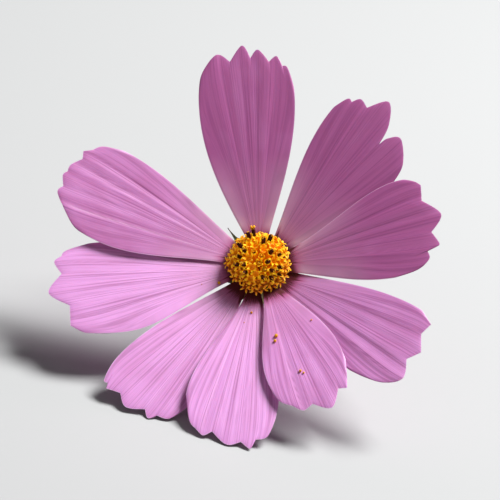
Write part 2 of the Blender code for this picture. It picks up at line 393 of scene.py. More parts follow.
def petalMaterial():
    look = petalLook
    material, tree, shader = newMaterial(
        "petalSkin", Roughness=0.5, **{"Subsurface Weight": 0.08, "Subsurface Scale": 0.0004,
                                       "Specular IOR Level": 0.7})
    across, along, edge = fanOf(tree)
    gap = attributeOf(tree, "rimGap")
    crease = attributeOf(tree, "crease")
    tone = attributeOf(tree, "tone")
    veins = useGroup(tree, fibres, Across=across, Along=along, Count=look["veinCount"], Seed=1.0)
    hairs = useGroup(tree, fibres, Across=across, Along=along, Count=look["hairCount"], Seed=5.0)
    spots = useGroup(tree, mottle, Position=objectPlace(tree), Size=look["spotSize"])
    # each petal's tone is painted light and shade: petals turned from the key light get the deep, shaded
    # colour and those facing it the pale one with a painted sheen; broad streaks and soft blotches vary it
    # at random
    tone = calc(tree, "MULTIPLY_ADD", veins["Streaks"], look["streaks"], tone)
    blotch = ramp(tree, spots["Blotch"], [(0.3, 0.0), (0.7, 1.0)])
    tone = calc(tree, "MULTIPLY_ADD", blotch, look["blotches"], tone)
    colour = mix(tree, tone, look["light"], look["deep"])
    # a thin paler line along the rim, a painted highlight where light catches the edge
    colour = mix(tree, ramp(tree, gap, [(0.0, 0.8), (0.15, 0.0)]), colour, look["rim"])
    share = calc(tree, "MULTIPLY", along, 0.25)  # of four centimetres
    fade = ramp(tree, share, [(0.12, 1.0), (0.3, 0.7), (0.9, 0.45)])
    drawn = calc(tree, "MULTIPLY", calc(tree, "MULTIPLY", veins["Lines"], fade), look["veinStrength"])
    colour = mix(tree, drawn, colour, look["vein"])
    # the hairlines are the petal's own fine veins; the crease lines are painted shade along the valleys of
    # the folds
    for lines, strength in ((hairs["Lines"], "hairStrength"), (crease, "creaseStrength")):
        colour = mix(tree, calc(tree, "MULTIPLY", lines, look[strength]), colour, look["vein"])
    # low down, the pale petals are painted darker: painted shade from the disc over their bases
    baseShade = ramp(tree, share, [(0.06, 0.6), (0.2, 0.32), (0.4, 0.0)])
    baseShade = calc(tree, "MULTIPLY", baseShade, calc(tree, "MULTIPLY_ADD", tone, -0.95, 0.95))
    colour = mix(tree, baseShade, colour, look["baseShade"])
    # the claw is paler, most at its sides, and its very base is dark
    pale = ramp(tree, share, [(0.06, 0.8), (0.22, 0.35), (0.5, 0.0)])
    pale = calc(tree, "MULTIPLY", pale, calc(tree, "MULTIPLY_ADD", tone, 1.1, 0.0))
    side = ramp(tree, calc(tree, "ABSOLUTE", edge), [(0.3, 0.35), (1.0, 1.0)])
    colour = mix(tree, calc(tree, "MULTIPLY", pale, side), colour, look["claw"])
    ragged = calc(tree, "MULTIPLY_ADD", veins["Height"], -0.7, along)
    ragged = calc(tree, "ADD", ragged, attributeOf(tree, "throat"))
    colour = mix(tree, ramp(tree, ragged, [(0.02, 0.85), (0.25, 0.0)]), colour, look["blush"])
    colour = mix(tree, ramp(tree, ragged, [(0.0, 1.0), (0.1, 0.0)]), colour, look["throat"])
    tree.links.new(colour, shader.inputs["Base Color"])
    height = calc(tree, "ADD", calc(tree, "MULTIPLY", veins["Height"], 1.6), hairs["Height"])
    height = calc(tree, "MULTIPLY_ADD", spots["Cells"], 0.1, height)
    tree.links.new(bump(tree, height, 0.2, 0.00006), shader.inputs["Normal"])
    tree.links.new(ramp(tree, hairs["Streaks"], [(0.2, 0.46), (0.8, 0.56)]), shader.inputs["Roughness"])
    return material


petalShape = {
    "thickness": 0.14,  # all in millimetres unless a share
    "rimThickness": 0.4,  # share of the thickness at the very rim
    "ringRadius": 3.65,
    "clawRoot": 0.85,  # how far the claw runs on, into the receptacle
    "narrowing": 0.22,
    "rimStep": 0.22,
    "rows": 90,
    "tipCurl": 0.12,
    "fanStart": 1.2,
    "ribHeight": 0.005,
    "foldScale": 0.7,
    "creaseDepth": 0.02,
    "clearance": 0.13,  # of the middle of the petal above the surface it touches
    "ribCounts": (23, 31, 41),
    "fanShare": 0.8,  # of the half width that the straight fan takes up
    "cupWidth": 8,
    "foldStart": 0.06,  # share of their height that folds have at the claw
    "tipCurlReach": 3,
    "rimFade": 0.35,  # how far in from the rim the full thickness is reached
    "settle": 0.12,  # how softly a petal comes to rest on the surface
    "creaseWidth": 0.02,  # shares of the width and of the length
    "creaseFadeIn": 0.1,
    "creaseFadeOut": 0.15,
}

# Each side is (half width, where it is widest, how straight it is, half width of its claw, where it
# ends). The rim then runs from left to right through points (across, along); each of its runs is smooth
# and ends in a corner. Folds are (place across, height) and creases are (place across, from, to, depth)
# with the places from 1 at the left to -1 at the right.
# tone is painted light and shade: high on the petals on the upper right, turned from the key light, low on
# those on the lower left that face it
petals = {
    1: dict(
        angle=94, lift=13, rise=0.4, tilt=0, cup=0.1, arch=0.3, tone=0.8, throat=0.12,
        left=(9.5, 0.7, 1.0, 1.0, 30.5), right=(9.0, 0.75, 1.1, 1.5, 30.5),
        rim=([(8.5, 34.5), (5.5, 38), (3, 36.5)], [(0.5, 39.5), (-1, 37)], [(-2.5, 38.5), (-4.5, 36)],
             [(-6, 37), (-7, 35)], [(-8, 34.5)]),
        folds=((1, 0.0), (0.84, 0.16), (0.76, 0.2), (0.66, 0.0), (0.4, 0.1), (0.1, 0.02), (-0.08, 0.08),
               (-0.3, 0.0), (-0.52, 0.16), (-0.64, 0.16), (-0.78, -0.02), (-1, 0.1)),
        creases=((0.7, 0.25, 0.9, 0.5), (0.14, 0.1, 1.0, 0.7), (0.36, 0.2, 0.8, 0.4),
                 (-0.12, 0.1, 0.95, 0.4), (-0.25, 0.2, 0.9, 0.5), (-0.45, 0.1, 0.6, 0.3))),
    2: dict(
        angle=48, lift=13, rise=0.0, tilt=2, cup=0.0, arch=0.3, tone=0.9, throat=0.09,
        left=(9.5, 0.8, 1.2, 1.0, 29.0), right=(9.0, 0.75, 1.1, 1.0, 25.0),
        rim=([(8.5, 32), (7.5, 32)], [(6.5, 33.5), (4.5, 33)], [(2, 36.5), (-1, 33), (-2, 29)],
             [(-2.5, 31), (-4.5, 32.5), (-8, 29)]),
        folds=((1, -0.05), (0.84, -0.05), (0.74, 0.18), (0.64, 0.0), (0.3, 0.06), (0.02, -0.06),
               (-0.12, -0.02), (-0.26, 0.16), (-0.5, 0.02), (-0.8, 0.06), (-1, -0.05)),
        creases=((0.82, 0.3, 1.0, 0.4), (0.5, 0.5, 0.95, 0.6), (0.2, 0.3, 0.8, 0.4),
                 (-0.14, 0.1, 0.8, 0.6), (-0.34, 0.1, 0.7, 0.5))),
    3: dict(
        angle=11, lift=13, rise=0.7, tilt=1, cup=0.1, arch=0.4, tone=0.85, throat=0.07,
        left=(9.5, 0.8, 1.6, 1.5, 27.0), right=(9.0, 0.7, 1.2, 2.0, 21.5),
        rim=([(8.5, 29), (7.5, 30)], [(4.5, 29.5)], [(1, 32.5), (-2, 30)], [(-4.5, 31), (-5, 30.5)],
             [(-5.5, 28.5)], [(-7, 28.5), (-8.5, 26)]),
        folds=((1, 0.1), (0.85, 0.16), (0.72, 0.02), (0.55, 0.18), (0.42, 0.12), (0.3, -0.04), (0.1, 0.06),
               (-0.1, -0.04), (-0.4, 0.06), (-0.62, 0.0), (-0.72, 0.12), (-1, -0.1)),
        creases=((0.74, 0.2, 0.9, 0.6), (0.34, 0.15, 0.9, 0.7), (0.0, 0.2, 0.8, 0.3),
                 (-0.3, 0.2, 0.9, 0.4), (-0.66, 0.3, 1.0, 0.7), (-0.85, 0.3, 0.8, 0.3))),
    4: dict(
        angle=-35, lift=13, rise=0.0, tilt=2, cup=0.0, arch=0.6, tone=0.1, throat=0.0,
        left=(8.5, 0.85, 1.2, 2.0, 28.5), right=(8.5, 0.8, 1.2, 1.0, 23.5),
        rim=([(7.5, 30.5)], [(7, 31.5)], [(4.5, 31)], [(1.5, 33)], [(-1, 31.5)],
             [(-4.5, 33), (-7, 30.5), (-8, 27)]),
        folds=((1, 0.1), (0.7, 0.1), (0.6, 0.0), (0.4, 0.06), (0.12, 0.0), (-0.08, 0.12), (-0.26, 0.14),
               (-0.4, -0.04), (-0.55, 0.02), (-0.66, 0.16), (-0.78, 0.1), (-0.86, -0.04), (-1, -0.02)),
        creases=((0.66, 0.15, 0.8, 0.6), (0.22, 0.4, 0.75, 0.8), (-0.3, 0.1, 0.95, 0.8),
                 (-0.12, 0.1, 0.6, 0.3), (-0.72, 0.2, 0.95, 0.8), (0.45, 0.1, 0.6, 0.3))),
    5: dict(
        angle=-68, lift=14, rise=0.8, tilt=0, cup=0.2, arch=1.0, tone=0.0, throat=-0.02,
        left=(7.5, 0.65, 1.2, 1.0, 22.5), right=(7.5, 0.7, 1.5, 1.0, 21.5),
        rim=([(6.5, 25.5), (5.5, 28)], [(4, 27.5)], [(1.5, 30.5), (-1.5, 28.5)], [(-3.5, 29), (-5, 27.5)],
             [(-7, 25.5)]),
        folds=((1, 0.0), (0.7, 0.06), (0.5, 0.0), (0.25, 0.08), (0.05, 0.0), (-0.2, 0.06), (-0.42, 0.08),
               (-0.56, -0.08), (-0.66, 0.04), (-0.85, 0.14), (-1, 0.06)),
        creases=((-0.6, 0.2, 1.0, 0.8), (-0.1, 0.15, 0.75, 0.6), (0.3, 0.1, 0.7, 0.5),
                 (0.5, 0.3, 0.8, 0.3), (-0.3, 0.1, 0.5, 0.3))),
    6: dict(
        angle=-99, lift=14, rise=0.2, tilt=-3, cup=0.0, arch=0.6, tone=-0.2, throat=-0.02,
        left=(8.5, 0.75, 1.3, 1.0, 28.5), right=(8.5, 0.75, 1.5, 1.0, 26.5),
        rim=([(7.5, 32), (5.5, 33)], [(5, 35), (3, 34)], [(0.5, 35), (-2.5, 33)], [(-4, 34), (-5.5, 33)],
             [(-7, 31.5)]),
        folds=((1, -0.1), (0.8, 0.0), (0.5, 0.08), (0.3, 0.02), (0.06, 0.06), (-0.02, 0.0), (-0.2, 0.06),
               (-0.45, 0.08), (-0.6, -0.1), (-0.72, 0.04), (-1, 0.1)),
        creases=((0.02, 0.1, 0.8, 0.9), (-0.62, 0.3, 1.0, 0.6), (0.45, 0.4, 0.95, 0.3),
                 (-0.3, 0.2, 0.7, 0.3), (0.25, 0.2, 0.7, 0.3))),
    7: dict(
        angle=-128, lift=13, rise=-0.3, tilt=-2, cup=0.0, arch=0.4, tone=-0.02, throat=0.01,
        left=(8.0, 0.8, 1.3, 1.0, 28.5), right=(8.0, 0.8, 1.2, 1.5, 27.5),
        rim=([(7, 32), (5, 33)], [(4, 34.5), (2.5, 33.5)], [(-0.5, 35.5), (-3, 34)], [(-5.5, 35)],
             [(-6, 34)], [(-7, 34), (-8, 31)]),
        folds=((1, 0.0), (0.7, 0.06), (0.5, -0.04), (0.35, 0.06), (0.12, -0.04), (0.0, 0.08), (-0.3, 0.0),
               (-0.5, -0.04), (-0.62, 0.08), (-0.8, 0.0), (-1, 0.02)),
        creases=((0.45, 0.3, 0.95, 0.5), (0.05, 0.25, 0.9, 0.6), (-0.2, 0.1, 0.6, 0.3),
                 (-0.55, 0.3, 0.95, 0.6), (0.25, 0.1, 0.6, 0.4))),
    8: dict(
        angle=-169, lift=13, rise=0.0, tilt=1.5, cup=0.0, arch=0.4, tone=-0.2, throat=0.13,
        left=(10.0, 0.65, 1.4, 1.5, 27.0), right=(8.5, 0.75, 1.2, 2.5, 28.0),
        rim=([(9.5, 31), (7.5, 34)], [(3.5, 33.5)], [(0.5, 37), (-3, 34)], [(-5.5, 35), (-6.5, 33.5)],
             [(-7.5, 32.5)]),
        folds=((1, 0.06), (0.86, 0.1), (0.76, -0.06), (0.6, 0.06), (0.3, 0.0), (0.1, 0.06), (-0.2, 0.0),
               (-0.42, 0.06), (-0.5, 0.0), (-0.75, 0.06), (-1, 0.0)),
        creases=((0.78, 0.35, 1.0, 0.8), (0.12, 0.15, 0.95, 0.5), (-0.46, 0.3, 1.0, 0.6),
                 (-0.75, 0.5, 1.0, 0.4), (-0.1, 0.1, 0.6, 0.3), (0.4, 0.2, 0.7, 0.3))),
    9: dict(
        angle=157, lift=14, rise=0.3, tilt=0.7, cup=0.1, arch=0.6, tone=0.34, throat=0.1,
        left=(9.5, 0.7, 1.3, 1.5, 26.5), right=(9.0, 0.8, 1.2, 2.0, 29.0),
        rim=([(9, 31), (6.5, 34.5)], [(4, 37), (2.5, 36.5)], [(0.5, 37.5), (-0.5, 37)],
             [(-2, 37), (-4, 35.5)], [(-5.5, 36)], [(-6.5, 34.5)], [(-8, 33)]),
        folds=((1, 0.06), (0.9, 0.1), (0.76, 0.28), (0.7, 0.02), (0.5, 0.14), (0.3, 0.08), (0.16, 0.16),
               (0.0, 0.06), (-0.2, 0.16), (-0.4, -0.06), (-0.62, 0.16), (-0.72, 0.0), (-0.85, 0.1),
               (-1, 0.1)),
        creases=((0.71, 0.25, 1.0, 1.0), (0.24, 0.2, 0.9, 0.6), (0.08, 0.2, 0.8, 0.6),
                 (-0.08, 0.1, 0.7, 0.4), (-0.4, 0.2, 1.0, 0.9), (-0.28, 0.3, 0.9, 0.4),
                 (-0.75, 0.2, 0.95, 0.8), (0.45, 0.1, 0.7, 0.3))),
}


def halfWidth(petal, t, u, length):
    widths = []
    for full, widest, straightness, claw, _ in (petal["left"], petal["right"]):
        x = np.clip(u / (widest * length), 0, 1)
        swell = claw + (full - claw) * np.sin(math.pi / 2 * x**straightness)
        past = np.clip((u / length - widest) / (1 - widest), 0, None)
        widths.append(np.where(x < 1, swell, full * (1 - petalShape["narrowing"] * past**2)))
    return np.where(t > 0, widths[0], widths[1])


def smoothRun(before, run, after, step):
    # Points along a smooth curve through a run, which leaves and arrives in the directions given
    points = [np.array(p, float) for p in (before, *run, after)]
    curve = []
    for a, b, c, d in zip(points, points[1:], points[2:], points[3:]):
        count = max(2, round(float(np.linalg.norm(c - b)) / step))
        for x in np.arange(count) / count:
            curve.append(0.5 * (2 * b + (c - a) * x + (2 * a - 5 * b + 4 * c - d) * x**2
                                + (3 * b - a - 3 * c + d) * x**3))
    return curve


def petalRim(petal):
    # The rim as places across (1 to -1) and how far the petal reaches there
    length = max(point[1] for run in petal["rim"] for point in run)
    ends = []
    for side, sign in (("left", 1), ("right", -1)):
        at = np.array([petal[side][4], petal[side][4] - 1])
        ends.append([(sign * w, u) for w, u in zip(halfWidth(petal, sign, at, length), at)])
    start, curve = ends[0][0], []
    for i, run in enumerate(petal["rim"]):
        first, last = i == 0, i == len(petal["rim"]) - 1
        points = [start, *run] + ([ends[1][0]] if last else [])
        before = ends[0][1] if first else points[0]
        after = ends[1][1] if last else points[-1]
        curve += smoothRun(before, points, after, petalShape["rimStep"])
        start = run[-1]
    curve = np.array(curve + [ends[1][0]])
    across, reach = curve[:, 0], curve[:, 1]
    columns = np.clip(across / halfWidth(petal, across, reach, length), -1, 1)
    columns = np.minimum.accumulate(columns - 1e-6 * np.arange(len(columns)))
    columns[0], columns[-1] = 1, -1
    return columns, reach, length


def foldHeight(folds, c):
    places, heights = zip(*sorted(folds))
    soft = 0
    for shift in (-0.02, -0.01, 0, 0.01, 0.02):
        soft = soft + np.interp(c + shift, places, heights)
    return soft / 5


def creaseMarks(petal, c, along):
    # the darkness of a crease is painted shade along its valley; its depth also dips the sheet
    marks = np.zeros_like(c)
    for place, start, end, depth in petal["creases"]:
        fade = np.clip((along - start) / petalShape["creaseFadeIn"], 0, 1)
        fade = fade * np.clip((end - along) / petalShape["creaseFadeOut"], 0, 1)
        line = np.exp(-((c - place) / petalShape["creaseWidth"]) ** 2)
        marks = np.maximum(marks, depth * fade * line)
    return marks


def sunk(points):
    # How far to lift what would sink into the surface, along the head's axis
    row = np.array(headPlace)[2]
    clear = (points @ (row[:3] * mm) + row[3]) / mm
    settle = petalShape["settle"]
    short = (petalShape["clearance"] - clear) / settle
    return settle * np.log1p(np.exp(np.clip(short, -30, 30))) / row[2]


def petalSheet(petal):
    shape = petalShape
    columns, reach, length = petalRim(petal)
    share = np.linspace(0, 1, shape["rows"])
    s, t = np.meshgrid(share, columns, indexing="ij")
    u = s * reach
    width = halfWidth(petal, t, u, length)
    v = t * width
    # veins and folds fan straight out in the middle and follow the sides at the edges
    start = shape["fanStart"]
    full = np.where(t > 0, petal["left"][0], petal["right"][0])
    straight = shape["fanShare"] * full * (u + start) / (length + start)
    c = np.clip(v / (width * t**2 + straight * (1 - t**2)), -1, 1)
    along = u / length
    marks = creaseMarks(petal, c, along)
    h = petal["rise"] + petal["arch"] * 4 * along * (1 - along)
    h = h + math.tan(math.radians(petal["tilt"])) * v + petal["cup"] * (v / shape["cupWidth"]) ** 2
    grown = shape["foldStart"] + (1 - shape["foldStart"]) * np.clip(along * 1.5, 0, 1) ** 1.3
    ribs = sum(np.cos(math.pi * count * c + i * petal["angle"])
               for i, count in enumerate(shape["ribCounts"]))
    h = h + grown * (shape["foldScale"] * foldHeight(petal["folds"], c) + shape["ribHeight"] * ribs)
    h = h - shape["creaseDepth"] * marks
    gap = reach * (1 - s)
    h = h - shape["tipCurl"] * np.clip(1 - gap / shape["tipCurlReach"], 0, 1) ** 2
    lift, angle = math.radians(petal["lift"]), math.radians(petal["angle"])
    out = shape["ringRadius"] + u * math.cos(lift) - h * math.sin(lift)
    up = u * math.sin(lift) + h * math.cos(lift)
    points = np.stack([out * math.cos(angle) - v * math.sin(angle),
                       out * math.sin(angle) + v * math.cos(angle), up], axis=-1)
    points[..., 2] += sunk(points)
    inward = np.array((math.cos(lift) * math.cos(angle), math.cos(lift) * math.sin(angle), math.sin(lift)))
    points = np.concatenate([points[:1] - shape["clawRoot"] * inward, points])
    side = (1 - np.abs(t)) * width
    sheets = (np.stack([c, u / 10, t], axis=-1), np.minimum(gap, side), marks)
    return (points, *(np.concatenate([sheet[:1], sheet]) for sheet in sheets))


specks = {  # grains of pollen that fell on the petals: (share along, place across, size)
    4: [(0.36, -0.92, 0.22)],
    5: [(0.45, -0.5, 0.36), (0.475, -0.54, 0.3), (0.74, -0.15, 0.26), (0.76, -0.1, 0.2), (0.45, 0.8, 0.16)],
    6: [(0.2, 0.1, 0.22), (0.28, -0.2, 0.1)],
    8: [(0.14, 0.8, 0.3), (0.24, 0.5, 0.1)],
}


def makePetals():
    rand = random.Random(3)
    skin = petalMaterial()
    grain = plainTissue("petalPollen", petalLook["pollen"], petalLook["pollenDeep"], 0.75, 9000.0)
    for number, petal in petals.items():
        points, fan, gap, marks = petalSheet(petal)
        thin = petalShape["rimThickness"]
        taper = thin + (1 - thin) * np.clip(gap / petalShape["rimFade"], 0, 1)
        verts, faces = shellOf(points, petalShape["thickness"], taper)
        build = Build()
        build.add(onHead(verts), faces, fan=np.tile(fan.reshape(-1, 3), (2, 1)),
                  rimGap=np.tile(gap.ravel(), 2), crease=np.tile(marks.ravel(), 2),
                  tone=np.full(len(verts), petal["tone"]), throat=np.full(len(verts), petal["throat"]))
        for s, t, size in specks.get(number, ()):
            row, column = round(s * (len(points) - 1)), int(np.argmin(np.abs(fan[-1, :, 2] - t)))
            spot = points[row, column] + np.array((0, 0, petalShape["thickness"] / 2 + size * 0.7))
            verts, faces = ballOf(size, rand)
            plain = np.zeros(len(verts))
            build.add(onHead(verts + spot), faces, 1, fan=np.zeros((len(verts), 3)), rimGap=plain,
                      crease=plain, tone=plain, throat=plain)
        build.piece(f"petal{number}", [skin, grain], [f"petal_{number}"])
    print("petals:", len(petals))


makePetals()


# Disc

discShape = {
    "total": 75,
    "open": 32,
    "radius": 5.9,
    "rimHeight": 2.6,
    "topHeight": 6.2,
    "spread": 72,
    "footRadius": 2.85,
    "footGap": 0.2,
    "domeRadius": 3.1,
    "domeHeight": 0.9,
    "domeBase": 1.0,
}


def domeHeight(radius):
    shape = discShape
    return shape["domeBase"] + shape["domeHeight"] * (1 - (radius / shape["domeRadius"]) ** 2)


def floretEnds(k):
    shape = discShape
    share = math.sqrt((k + 0.5) / shape["total"])
    angle = k * math.pi * (3 - math.sqrt(5))
    around, full = math.radians(share * shape["spread"]), math.radians(shape["spread"])
    fall = (1 - math.cos(around)) / (1 - math.cos(full))
    height = shape["topHeight"] - (shape["topHeight"] - shape["rimHeight"]) * fall
    mouth = (shape["radius"] * math.sin(around) / math.sin(full), height)
    foot = (shape["footRadius"] * share, domeHeight(shape["footRadius"] * share) + shape["footGap"])
    return [Vector((r * math.cos(angle), r * math.sin(angle), z)) for r, z in (foot, mouth)]


floretShape = {
    "foot": 0.27,
    "throat": 0.6,
    "lobe": 0.85,
    "lobeWidth": 0.3,
    "skin": 0.06,
    "grain": 0.11,
    "lobes": 5,
    "lobeRows": 8,
    "lobeColumns": 5,
    "lobeCup": 0.4,
    "lobeTip": 0.012,
}

# One floret stands out above the others, with a ball of larger grains on its anthers
tallest = {"floret": 40, "grains": 16, "grainSize": 2.0, "spread": 3}

# Dark columns of anthers: which florets of the spiral, their radius and how far they stand out
anthers = (
    ((27, 11, 24, 22, 5), 0.38, 1.2),
    ((9, 8, 12, 17, 25, 26, 18, 31, 23, 20), 0.31, 0.95),
    ((2, 21, 10, 39), 0.23, 0.6),
    ((0, 1), 0.16, 0.3),
    ((tallest["floret"],), 0.36, 1.6),
)

floretColours = {
    "young": (1.0, 0.56, 0.003),
    "ripe": (1.0, 0.235, 0.002),
    # the tube colours are painted shade: darker than the lobes, as shade deep down between them
    "youngTube": (0.95, 0.40, 0.002),
    "tube": (0.42, 0.08, 0.002),
    # strength of the painted glow, an emission on the lobes that stands in for light passing through them
    "paintedGlow": 0.22,
    "tip": (1.0, 0.66, 0.015),
    "anther": (0.03, 0.002, 0.001),
    "antherPale": (0.07, 0.004, 0.002),
    "pollen": (1.0, 0.5, 0.02),
    "pollenDeep": (0.85, 0.36, 0.01),
}


def corollaMaterial():
    look = floretColours
    material, tree, shader = newMaterial(
        "corolla", Roughness=0.5, **{"Subsurface Weight": 0.15, "Subsurface Scale": 0.0004,
                                     "Specular IOR Level": 0.3})
    reach = attributeOf(tree, "reach")
    age = attributeOf(tree, "age")
    spots = useGroup(tree, mottle, Position=objectPlace(tree), Size=4000.0)
    # the riper colour stands for age and also for painted shade on the side of the disc turned from the key
    # light
    colour = mix(tree, age, look["young"], look["ripe"])
    colour = mix(tree, ramp(tree, spots["Blotch"], [(0.35, 0.0), (0.7, 0.4)]), colour, look["ripe"])
    # the tubes and lobe bases are painted darker, painted shade down in the throat of each floret
    tube = mix(tree, age, look["youngTube"], look["tube"])
    colour = mix(tree, ramp(tree, reach, [(0.0, 1.0), (0.15, 0.0)]), colour, tube)
    colour = mix(tree, ramp(tree, reach, [(0.2, 0.0), (1.0, 0.9)]), colour, look["tip"])
    tree.links.new(colour, shader.inputs["Base Color"])
    # painted glow: the lobes emit a faint light in their own colour, standing in for light that passes
    # through them, most on thin young lobes
    thin = ramp(tree, reach, [(0.0, 0.35), (0.3, 0.8), (1.0, 1.0)])
    thin = calc(tree, "MULTIPLY", thin, calc(tree, "MULTIPLY_ADD", age, -0.85, 1.0))
    tree.links.new(mix(tree, thin, (0.0, 0.0, 0.0), colour), shader.inputs["Emission Color"])
    shader.inputs["Emission Strength"].default_value = look["paintedGlow"]
    tree.links.new(bump(tree, spots["Cells"], 0.25, 0.00003), shader.inputs["Normal"])
    return material


def lobeSheet(angle, start, bend, length, throat, top, wide):
    # One lobe of a star: it starts on the throat, leans out by start and bends by bend to its tip
    shape = floretShape
    along, across = np.linspace(0, 1, shape["lobeRows"]), np.linspace(1, -1, shape["lobeColumns"])
    lean = start + bend * along
    step = length / (len(along) - 1)
    r = throat + np.concatenate([[0], np.cumsum(np.sin(lean[:-1]) * step)])
    z = top + np.concatenate([[0], np.cumsum(np.cos(lean[:-1]) * step)])
    width = wide * (0.85 + 0.5 * along) * (1 - along**1.8) + shape["lobeTip"]
    rows = []
    for ri, zi, wi, li in zip(r, z, width, lean):
        side = across * wi
        lift = shape["lobeCup"] * np.abs(across) ** 2 * wi
        x = ri - lift * math.cos(li)
        rows.append(np.stack([x * math.cos(angle) - side * math.sin(angle),
                              x * math.sin(angle) + side * math.cos(angle),
                              np.full_like(side, zi) + lift * math.sin(li)], axis=-1))
    return np.array(rows), np.repeat(along[:, None], len(across), axis=1)


def addFloret(build, k, rand):
    shape = floretShape
    foot, mouth = floretEnds(k)
    length = (mouth - foot).length
    place = Matrix.Translation(foot) @ (mouth - foot).to_track_quat("Z", "Y").to_matrix().to_4x4()
    place = place @ Matrix.Rotation(rand.uniform(0, 2 * math.pi), 4, "Z")
    share = math.sqrt((k + 0.5) / discShape["total"])
    column = next(((radius, height) for which, radius, height in anthers if k in which), None)
    opening = min(0.5 + 0.6 * share, 1) * rand.uniform(0.8, 1.05)
    if column:
        opening *= 0.75
    # outer florets are older and redder; the side of the disc turned from the key light is also painted
    # redder and darker, as painted shade
    shadedSide = 0.5 - 0.5 * (mouth.y + mouth.x * 0.3) / discShape["radius"]
    age = min(max((share - 0.5) / 0.35, 0), 1) * min(0.15 + shadedSide, 1) * rand.uniform(0.7, 1.0)
    throat, wall = shape["throat"] * (1.05 - 0.2 * share), shape["skin"]
    length *= rand.uniform(0.94, 1.07)

    def add(verts, faces, slot, reach, tint=age):
        build.add(onHead(placed(verts, place)), faces, slot, reach=np.asarray(reach, float),
                  age=np.full(len(verts), tint))

    depth = 0.12 + 0.6 * min(opening * 1.5, 1)
    tube = [(0, 0.0), (shape["foot"], 0.0), (0.36, length * 0.4), (throat * 0.88, length * 0.72),
            (throat, length * 0.97), (throat - wall, length * 0.97), (throat * 0.6, length - depth),
            (0, length - depth - 0.02)]
    verts, faces = turnedOf(tube, 15, lambda a, level: 1 + 0.05 * math.cos(5 * a))
    add(verts, faces, 0, np.zeros(len(verts)))
    start = math.radians(-20 + 75 * opening + rand.uniform(-6, 6))
    bend = math.radians(-50 + 110 * opening + rand.uniform(-15, 15))
    size = shape["lobe"] * rand.uniform(0.88, 1.08)
    for i in range(shape["lobes"]):
        own = rand.uniform(-0.15, 0.15)
        sheet, reach = lobeSheet(2 * math.pi * i / shape["lobes"], start + own, bend, size,
                                 throat - wall / 2, length * 0.93, shape["lobeWidth"] * (1 - 0.35 * age))
        verts, faces = shellOf(sheet, wall)
        add(verts, faces, 0, np.tile(reach.ravel(), 2))
    if column:
        wide, tall = column
        low, high = length - depth - 0.05, length + tall
        ribbed = [(0, low), (wide * 0.8, low), (wide, (low + high) / 2), (wide * 1.04, high - 0.18),
                  (wide * 0.72, high), (0, high + 0.02)]
        verts, faces = turnedOf(ribbed, 20, lambda a, level: 1 + 0.1 * math.cos(5 * a))
        add(verts, faces, 1, np.zeros(len(verts)))
    grains = rand.randint(2, 5) if column else (rand.randint(0, 3) if opening > 0.8 else 0)
    crowned = k == tallest["floret"]
    if crowned:
        grains = tallest["grains"]
    for _ in range(grains):
        top = high + 0.02 if column else length - depth + 0.2
        wide = column[0] if column else 0.22
        angle, r = rand.uniform(0, 2 * math.pi), wide * rand.uniform(0.2, 1.1)
        ball = shape["grain"] * rand.uniform(0.7, 1.3) * (tallest["grainSize"] if crowned else 1)
        above = rand.uniform(-0.05, 0.12) * (tallest["spread"] if crowned else 1)
        middle = (r * math.cos(angle), r * math.sin(angle), top + above)
        verts, faces = ballOf(ball, rand)
        add(verts + np.array(middle), faces, 2, np.ones(len(verts)), 0.0)


def makeDisc():
    rand = random.Random(7)
    look = floretColours
    skins = [corollaMaterial(),
             plainTissue("antherSkin", look["anther"], look["antherPale"], 0.6, 6000.0),
             plainTissue("pollenSkin", look["pollen"], look["pollenDeep"], 0.75, 9000.0)]
    buds = Build()
    first = discShape["total"] - discShape["open"]
    for k in range(first):
        addFloret(buds, k, rand)
    buds.piece("middleBuds", skins, ["middle_buds"])
    for number in range(discShape["open"]):
        build = Build()
        addFloret(build, first + number, rand)
        build.piece(f"discFloret{number + 1}", skins, [f"disc_floret_{number + 1}"])
    print("disc florets:", discShape["total"])


makeDisc()


# Receptacle and bracts

greenLook = {
    "fresh": (0.16, 0.31, 0.07),
    "deep": (0.07, 0.16, 0.03),
    "pale": (0.38, 0.46, 0.20),
    "blush": (0.25, 0.06, 0.04),
    "brown": (0.40, 0.27, 0.12),
    # the floor of the disc is painted dark: painted shade in the gaps between the florets
    "shadedDiscFloor": (0.30, 0.07, 0.008),
    "shadedDiscFloorDeep": (0.14, 0.02, 0.005),
    "pith": (0.50, 0.55, 0.28),
    "pithPale": (0.62, 0.64, 0.40),
}


def greenMaterial(name, base, streak, tip, roughness, count):
    material, tree, shader = newMaterial(name, Roughness=roughness)
    across, along, share = fanOf(tree)
    lines = useGroup(tree, fibres, Across=across, Along=along, Count=count, Seed=4.0)
    spots = useGroup(tree, mottle, Position=objectPlace(tree), Size=1200.0)
    colour = mix(tree, calc(tree, "MULTIPLY", lines["Streaks"], 0.9), base, streak)
    colour = mix(tree, calc(tree, "MULTIPLY", lines["Lines"], 0.4), colour, greenLook["deep"])
    colour = mix(tree, ramp(tree, spots["Blotch"], [(0.4, 0.0), (0.8, 0.35)]), colour, greenLook["pale"])
    colour = mix(tree, ramp(tree, share, [(0.55, 0.0), (1.0, 0.8)]), colour, tip)
    tree.links.new(colour, shader.inputs["Base Color"])
    height = calc(tree, "ADD", lines["Height"], calc(tree, "MULTIPLY", spots["Cells"], 0.2))
    tree.links.new(bump(tree, height, 0.5, 0.0001), shader.inputs["Normal"])
    return material


bracts = {
    "outer": dict(count=8, first=126, radius=3.1, height=-2.25, length=7.5, root=1.5, halfWidth=0.95,
                  lift=6, arch=0.5, thickness=0.3, keel=0.22, ribs=0.03, tipLift=0.5),
    "inner": dict(count=8, first=148.5, radius=3.55, height=-1.0, length=6.2, root=1.1, halfWidth=1.7,
                  lift=15, arch=-0.4, thickness=0.2, keel=0.15, ribs=0.05, tipLift=0.2),
}


